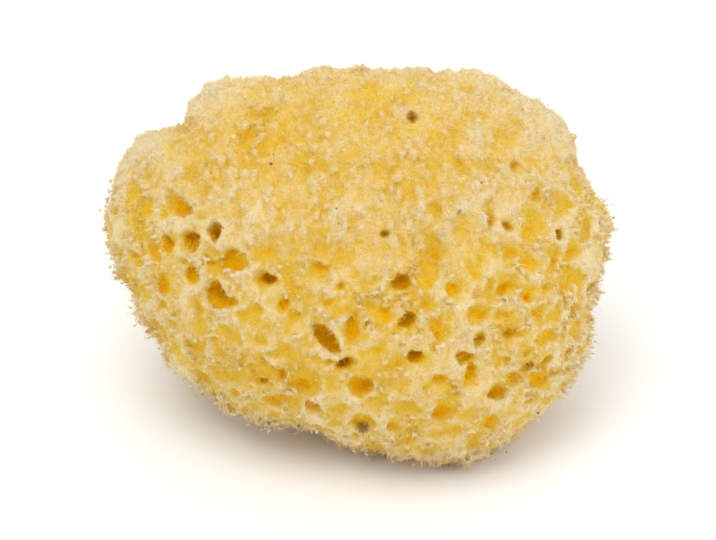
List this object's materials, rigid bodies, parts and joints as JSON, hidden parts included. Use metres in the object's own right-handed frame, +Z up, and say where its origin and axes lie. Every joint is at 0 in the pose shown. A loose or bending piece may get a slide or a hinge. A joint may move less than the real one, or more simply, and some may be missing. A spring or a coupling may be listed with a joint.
{
  "type": "sea sponge",
  "caption": "Rounded lump of natural sea sponge with rounded pores, woolly on top and honeycombed on its face, cut flat underneath to rest on a surface.",
  "frame": {"origin": "on the resting surface, at the middle of the sponge's box", "axes": "+Z up from the flat cut, +X along the longest side, -Y towards the broad honeycombed face"},
  "size_m": [0.1525, 0.1183, 0.1054],
  "materials": {
    "sponge_fibre": "matte"
  },
  "bodies": {
    "root": {"sponge": "sponge_fibre"}
  },
  "joints": []
}
